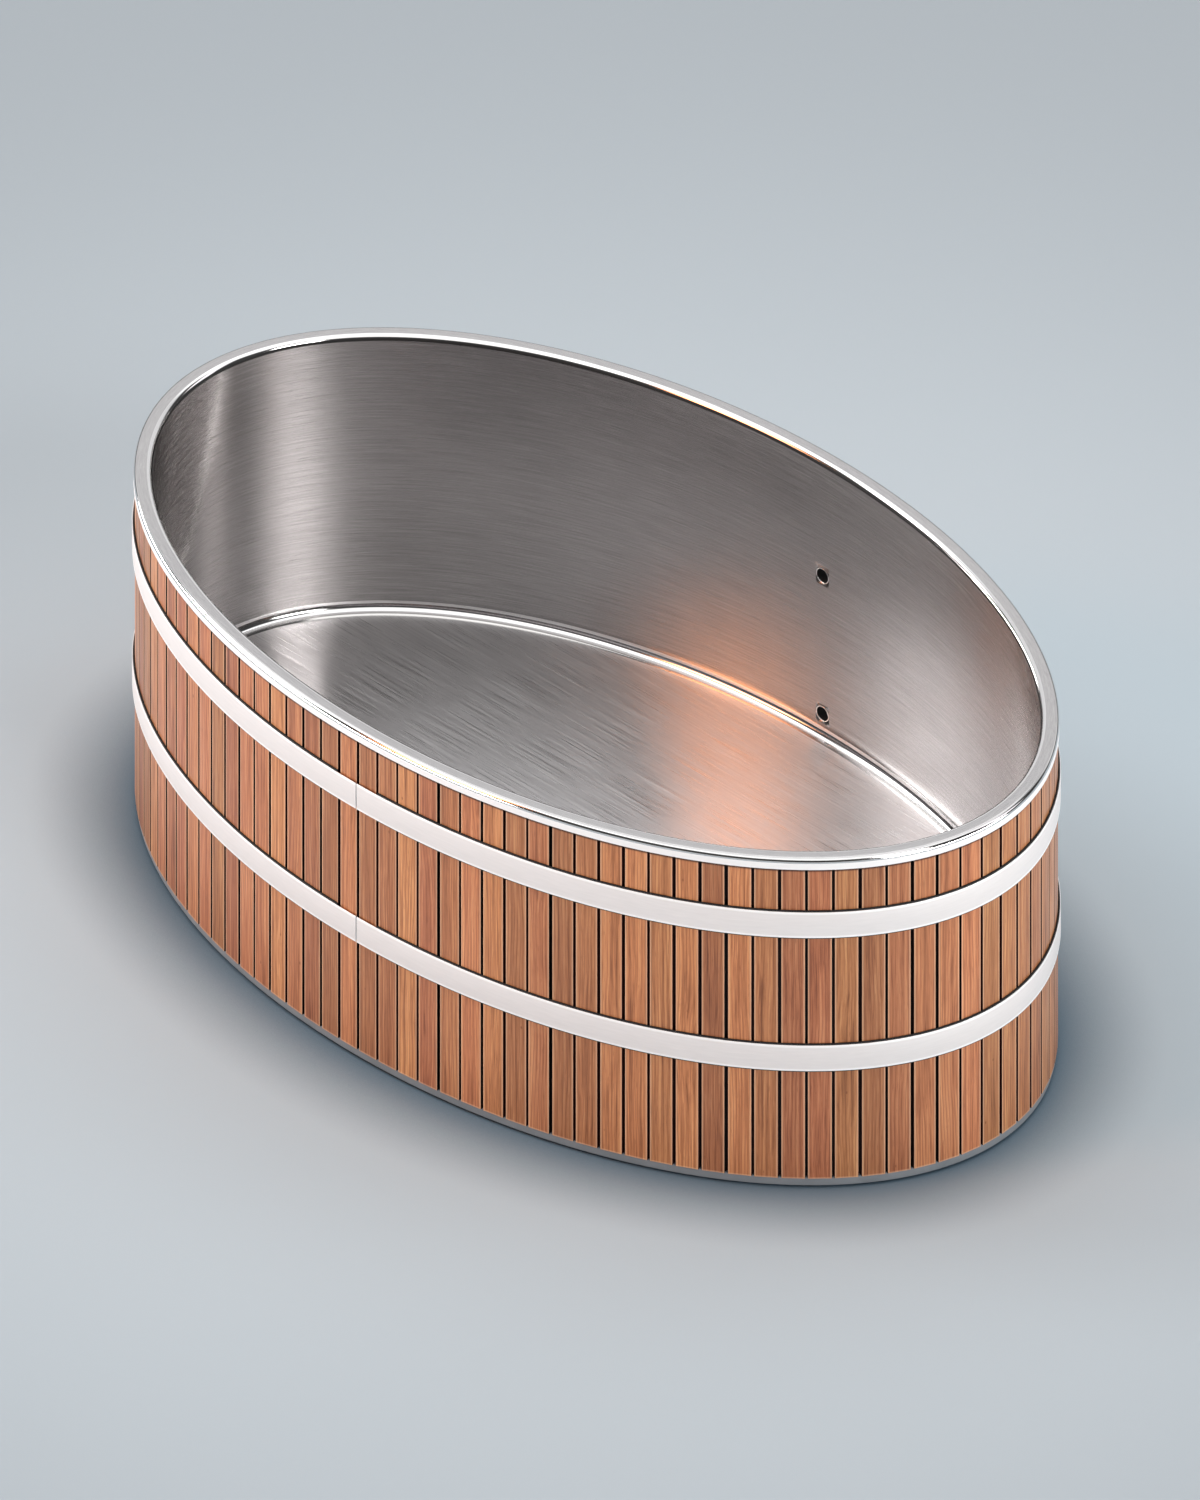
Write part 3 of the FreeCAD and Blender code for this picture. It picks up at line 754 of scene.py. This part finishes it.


# The skirt is the first strip of the profile; the bright outer bend, the flat top, the bright inner bend with
# a black line at its end, a painted dark reflection under the bend, and the lip follow
rimLooks = {
    "flat": steels["satinRim"],
    "skirt": steels["paintedBrightSkirt"],
    "paintedDark": matts["backingRubber"],
    "lip": steels["brushedWallShaded"],
    "bend": steels["polishedCove"],
}
rimOrder = list(rimLooks)
lipStrip = 2 * rim["bendSteps"] + 2
rimStrips = {0: "skirt", lipStrip: "lip"}
for number in range(1, rim["brightStrips"] + 1):
    rimStrips[number] = "bend"
for number in range(rim["bendSteps"] + 2, lipStrip):
    rimStrips[number] = "paintedDark" if number >= lipStrip - rim["paintedDarkStrips"] else "bend"
rimFinishes = {number: rimOrder.index(look) for number, look in rimStrips.items()}
rimMesh = sweepOval("rimCap", rimProfile(), finishes=rimFinishes)
addPiece("rimCap", rimMesh, rimLooks["flat"], "rim_steel", "tub", "rim_cap")
for look in rimOrder[1:]:
    rimMesh.materials.append(rimLooks[look])


# Liner: wall with the port holes, cove ring and floor plate
liner = {
    "wallRows": 24,
    "coveRadius": 0.016,
    "coveSteps": 10,
    "holeRadius": portRadius + 0.0001,
    "cutterSides": 96,
    "cutterDepth": 0.1,
}


def boreWall(piece):
    cutters = []
    for middle in ports.values():
        shape = bmesh.new()
        bmesh.ops.create_cone(shape, segments=liner["cutterSides"], radius1=liner["holeRadius"],
                              radius2=liner["holeRadius"], depth=liner["cutterDepth"], cap_ends=True)
        mesh = meshFrom(shape, "portCutter")
        cutter = bpy.data.objects.new("portCutter", mesh)
        cutter.location = (0, oval["halfWidth"] + linerInner, middle.z)
        cutter.rotation_euler = (math.pi / 2, 0, 0)
        scene.collection.objects.link(cutter)
        modifier = piece.modifiers.new("port", "BOOLEAN")
        modifier.object = cutter
        modifier.solver = "EXACT"
        cutters.append(cutter)
    bpy.context.view_layer.update()
    depsgraph = bpy.context.evaluated_depsgraph_get()
    bored = bpy.data.meshes.new_from_object(piece.evaluated_get(depsgraph))
    piece.modifiers.clear()
    piece.data = bored
    for cutter in cutters:
        bpy.data.objects.remove(cutter)


def wallProfile():
    low = wallBox[0].z
    high = wallBox[1].z
    rows = liner["wallRows"]
    inside = [(linerInner, low + (high - low) * k / rows) for k in range(rows + 1)]
    return inside + [(linerOuter, high), (linerOuter, low)]


wallMesh = sweepOval("linerWall", wallProfile())
linerWall = addPiece("linerWall", wallMesh, steels["brushedWallShaded"], "liner_steel", "tub",
                     "liner_wall_front", "liner_wall_back", "liner_wall_left", "liner_wall_right")
boreWall(linerWall)

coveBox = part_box("liner_cove")
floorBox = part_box("liner_floor")
floorEdge = floorBox[1].x - oval["halfLength"]


def coveProfile():
    floorLevel = floorBox[1].z
    plateLow = floorBox[0].z
    radius = liner["coveRadius"]
    centre = (linerInner - radius, floorLevel + radius)
    inside = arc(centre, radius, -90, 0, liner["coveSteps"])
    outside = arc(centre, radius + sheet, 0, -90, liner["coveSteps"])
    return ([(floorEdge, floorLevel)] + inside + [(linerInner, coveBox[1].z), (linerOuter, coveBox[1].z)]
            + outside + [(floorEdge, plateLow)])


# the strip after the bend is the upright flange under the wall, brushed like it
coveMesh = sweepOval("linerCove", coveProfile(), finishes={liner["coveSteps"] + 1: 1})
addPiece("linerCove", coveMesh, steels["polishedCove"], "liner_steel", "tub", "liner_cove")
coveMesh.materials.append(steels["brushedWallShaded"])


def floorPlate():
    shape = bmesh.new()
    uv = shape.loops.layers.uv.new("alongOval")
    steps = oval["steps"]
    turns = [2 * math.pi * k / steps for k in range(steps)]
    low = [shape.verts.new(ovalPoint(t, floorEdge, floorBox[0].z)) for t in turns]
    high = [shape.verts.new(ovalPoint(t, floorEdge, floorBox[1].z)) for t in turns]
    for k in range(steps):
        after = (k + 1) % steps
        shape.faces.new((low[k], low[after], high[after], high[k]))
    shape.faces.new(low)
    shape.faces.new(high)
    for face in shape.faces:
        for loop in face.loops:
            loop[uv].uv = loop.vert.co.xy
    return meshFrom(shape, "linerFloor")


addPiece("linerFloor", floorPlate(), steels["brushedFloorLit"], "liner_steel", "tub", "liner_floor")
print("rim and liner made")


# Port sleeves: a steel tube with a rounded lip inside the bath, its bore painted black as painted shade
sleeve = {"wall": 0.002, "lip": 0.0009, "lipSteps": 4, "segments": 96}


def portSleeve(name, low, high):
    middle = (low + high) / 2
    lip = sleeve["lip"]
    bore = portRadius - sleeve["wall"]
    start = low.y
    end = high.y
    profile = arc((bore + lip, start + lip), lip, 180, 270, sleeve["lipSteps"])
    profile += arc((portRadius - lip, start + lip), lip, 270, 360, sleeve["lipSteps"])
    profile += [(portRadius, end), (bore, end)]
    shape = bmesh.new()
    count = sleeve["segments"]
    turns = [2 * math.pi * k / count for k in range(count)]
    rings = []
    for t in turns:
        around = [(middle.x + r * math.cos(t), y, middle.z + r * math.sin(t)) for r, y in profile]
        rings.append([shape.verts.new(point) for point in around])
    uv = shape.loops.layers.uv.new("alongOval")
    for k in range(count):
        here = rings[k]
        there = rings[(k + 1) % count]
        for j in range(len(profile)):
            other = (j + 1) % len(profile)
            face = shape.faces.new((here[j], there[j], there[other], here[other]))
            face.material_index = 1 if other == 0 else 0
            for loop, turn in zip(face.loops, (k, k + 1, k + 1, k)):
                loop[uv].uv = (turn / count * 2 * math.pi * portRadius, loop.vert.co.y)
    return meshFrom(shape, name)


for level in ("lower", "upper"):
    node = "port_sleeve_" + level
    mesh = portSleeve(level + "PortSleeve", *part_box(node))
    addPiece(level + "PortSleeve", mesh, steels["polishedCove"], "rim_steel", "tub", node)
    mesh.materials.append(matts["backingRubber"])
print("port sleeves made")

# Hoops with a seam at the front centre, their black backing strips, partly real strips and partly a painted
# shade line above each hoop, and the plinth under the timber
hoop = {"from": 0.0030, "to": 0.0045, "rounding": 0.0005, "frontGap": 0.0025}
backing = {"from": 0.0003, "to": 0.0029, "rounding": 0.0004, "frontGap": 0.091}
plinth = {"from": -0.0145, "to": -0.0025, "rounding": 0.001}


def bandMesh(name, node, size):
    low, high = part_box(node)
    profile = roundedBar((size["from"], low.z), (size["to"], high.z), size["rounding"])
    if "frontGap" not in size:
        return sweepOval(name, profile)
    turn = math.asin(size["frontGap"] / 2 / (oval["halfLength"] + size["to"]))
    return sweepOval(name, profile, -math.pi / 2 + turn, 1.5 * math.pi - turn)


for level in ("lower", "upper"):
    node = level + "_hoop"
    mesh = bandMesh(level + "Hoop", node, hoop)
    addPiece(level + "Hoop", mesh, steels["satinHoop"], "hoop_steel", "tub", node)
    node = level + "_hoop_strip"
    mesh = bandMesh(level + "Strip", node, backing)
    addPiece(level + "Strip", mesh, matts["backingRubber"], "strip_rubber", "tub", node)
mesh = bandMesh("plinthRing", "plinth_ring", plinth)
addPiece("plinthRing", mesh, matts["plinthPaint"], "plinth_paint", "tub", "plinth_ring")
print("hoops, strips and plinth made")

# What keeps its own mesh gets its finish
kept = {
    # the hoop splices take the dark grey paint so each hoop seam shows as a dark line: partly primer, partly
    # painted shade
    "lower_hoop_splice": matts["plinthPaint"],
    "upper_hoop_splice": matts["plinthPaint"],
    "lower_packing_band": matts["packingFoam"],
    "upper_packing_band": matts["packingFoam"],
    "insulation_board": matts["insulationFoam"],
    "base_deck": deckPly,
    "deck_screws": steels["millSteel"],
    "bearer_end_caps": matts["padNylon"],
    "bearer": steels["millSteel"],
    "weld_nuts": steels["millSteel"],
    "foot_pad": matts["padNylon"],
    "foot_spindle": steels["millSteel"],
}
for name, item in cad.items():
    starts = [start for start in kept if name.startswith(start)]
    if starts and not item.hide_render:
        finish = kept[max(starts, key=len)]
        item.data.materials.clear()
        item.data.materials.append(finish)

# Studio: a pale floor under a dim dome with softboxes in it; angles are in degrees
studio = {
    "floorHalf": 14.0,
    "floorColour": (0.515, 0.595, 0.645, 1),
    "floorFarShade": (0.40, 0.46, 0.50, 1),
    "floorFrom": 1.0,
    "floorTo": 2.8,
    "floorRough": 0.9,
    "floorSpecular": 0.1,
    "contactReach": 0.18,
    "contactFrom": 0.5,
    "contactShade": (0.24, 0.31, 0.37, 1),
    "horizon": (0.05, 0.05, 0.05, 1),
    "overhead": (1.22, 1.23, 1.24, 1),
    "overheadAzimuth": 135,
    "overheadRise": 82,
    "overheadCore": 35,
    "overheadEdge": 42,
    "backdrop": (0.48, 0.53, 0.57, 1),
}

# azimuth counts from +X towards +Y; half is half the width of a softbox, low and high are its edges above
# the floor and fade is the softness of its edges
softboxes = {
    "rightCard": {"azimuth": 350, "half": 11, "low": 29, "high": 41, "fade": 3,
                  "colour": (11.0, 10.8, 10.7, 1)},
    "leftCard": {"azimuth": 203, "half": 11, "low": 29, "high": 41, "fade": 4,
                 "colour": (7.8, 7.7, 7.7, 1)},
    "warmCard": {"azimuth": 240, "half": 9, "low": 29, "high": 41, "fade": 3,
                 "colour": (9.4, 3.7, 1.6, 1)},
    "farRight": {"azimuth": 51, "half": 10, "low": 20, "high": 50, "fade": 4,
                 "colour": (1.3, 1.25, 1.3, 1)},
    "farSide": {"azimuth": 135, "half": 52, "low": 10, "high": 46, "fade": 8,
                "colour": (0.70, 0.70, 0.71, 1)},
    "skyCard": {"azimuth": 262, "half": 88, "low": 47, "high": 59, "fade": 3,
                "colour": (1.12, 1.11, 1.1, 1)},
    "frontLow": {"azimuth": 285, "half": 80, "low": -3, "high": 4, "fade": 2,
                 "colour": (0.5, 0.49, 0.48, 1)},
    "leftLow": {"azimuth": 218, "half": 38, "low": -3, "high": 4, "fade": 2,
                "colour": (22.5, 22.3, 22.1, 1)},
    "rightLow": {"azimuth": 12, "half": 32, "low": -3, "high": 4, "fade": 2,
                 "colour": (21.0, 20.8, 20.6, 1)},
}


def makeFloor():
    shape = bmesh.new()
    bmesh.ops.create_grid(shape, x_segments=2, y_segments=2, size=studio["floorHalf"])
    mesh = meshFrom(shape, "studioFloor")
    material, tree, shader = newMaterial("paleFloor")
    place = addNode(tree, "ShaderNodeTexCoord").outputs["Object"]
    # painted light: the floor is lighter in the middle and darker far out; ambient occlusion darkens it near
    # the tub as a painted contact shadow
    away = addNode(tree, "ShaderNodeVectorMath", {0: place}, operation="LENGTH").outputs["Value"]
    far = addRange(tree, away, studio["floorFrom"], studio["floorTo"], 0.0, 1.0, smooth=True)
    colour = addBlend(tree, far, studio["floorColour"], studio["floorFarShade"])
    clear = addNode(tree, "ShaderNodeAmbientOcclusion", {"Distance": studio["contactReach"]}).outputs["AO"]
    contact = addRange(tree, clear, studio["contactFrom"], 1.0, 0.0, 1.0)
    shade = addBlend(tree, contact, studio["contactShade"], (1, 1, 1, 1))
    tree.links.new(addBlend(tree, 1.0, colour, shade, "MULTIPLY"), shader.inputs["Base Color"])
    shader.inputs["Roughness"].default_value = studio["floorRough"]
    shader.inputs["Specular IOR Level"].default_value = studio["floorSpecular"]
    mesh.materials.append(material)
    floor = bpy.data.objects.new("studioFloor", mesh)
    scene.collection.objects.link(floor)


def direction(azimuth, rise=0.0):
    turn = math.radians(azimuth)
    lift = math.radians(rise)
    return (math.cos(turn) * math.cos(lift), math.sin(turn) * math.cos(lift), math.sin(lift))


# 1 where a direction lies within core degrees of an aim, 0 beyond edge degrees
def addCone(tree, looking, aim, edge, core):
    near = addNode(tree, "ShaderNodeVectorMath", {0: looking, 1: aim}, operation="DOT_PRODUCT")
    return addRange(tree, near.outputs["Value"], math.cos(math.radians(edge)), math.cos(math.radians(core)),
                    0.0, 1.0, smooth=True)


def makeDome():
    world = bpy.data.worlds.new("studioDome")
    scene.world = world
    world.use_nodes = True
    tree = world.node_tree
    looking = addNode(tree, "ShaderNodeTexCoord").outputs["Generated"]
    height = addNode(tree, "ShaderNodeSeparateXYZ", {0: looking}).outputs["Z"]
    aim = direction(studio["overheadAzimuth"], studio["overheadRise"])
    overhead = addCone(tree, looking, aim, studio["overheadEdge"], studio["overheadCore"])
    sky = addBlend(tree, overhead, studio["horizon"], studio["overhead"])
    flat = addVector(tree, "MULTIPLY", looking, (1, 1, 0))
    flat = addNode(tree, "ShaderNodeVectorMath", {0: flat}, operation="NORMALIZE").outputs[0]
    for box in softboxes.values():
        fade = box["fade"]
        mask = addCone(tree, flat, direction(box["azimuth"]), box["half"] + fade, box["half"] - fade)
        for edge, below, above in (("low", 0.0, 1.0), ("high", 1.0, 0.0)):
            step = addRange(tree, height, math.sin(math.radians(box[edge] - fade)),
                            math.sin(math.radians(box[edge] + fade)), below, above, smooth=True)
            mask = addMath(tree, "MULTIPLY", mask, step)
        sky = addBlend(tree, mask, sky, box["colour"], "ADD")
    lighting = tree.nodes["Background"]
    tree.links.new(sky, lighting.inputs["Color"])
    shown = addNode(tree, "ShaderNodeBackground", {"Color": studio["backdrop"], "Strength": 1.0})
    path = addNode(tree, "ShaderNodeLightPath")
    mix = addNode(tree, "ShaderNodeMixShader", {
        0: path.outputs["Is Camera Ray"], 1: lighting.outputs[0], 2: shown.outputs[0]})
    tree.links.new(mix.outputs[0], tree.nodes["World Output"].inputs["Surface"])

# The photograph is a parallel view from 45 degrees round and 35.26 degrees up
camera = {
    "round": 45.0,
    "rise": math.degrees(math.atan(math.sqrt(0.5))),
    "away": 8.0,
    "frameHeight": 2.4146,
    "right": 0.00573,
    "up": 0.26105,
    "reach": 100,
}


def makeCamera():
    a = math.radians(camera["round"])
    e = math.radians(camera["rise"])
    back = Vector((math.sin(a) * math.cos(e), -math.cos(a) * math.cos(e), math.sin(e)))
    right = Vector((math.cos(a), math.sin(a), 0))
    up = back.cross(right)
    aim = Vector((0, 0, staves["bottom"])) + right * camera["right"] + up * camera["up"]
    data = bpy.data.cameras.new("photoCamera")
    data.type = "ORTHO"
    data.ortho_scale = camera["frameHeight"]
    data.clip_end = camera["reach"]
    item = bpy.data.objects.new("photoCamera", data)
    item.location = aim + back * camera["away"]
    item.rotation_euler = back.to_track_quat("Z", "Y").to_euler()
    scene.collection.objects.link(item)
    scene.camera = item


makeFloor()
makeDome()
makeCamera()
print("studio made")
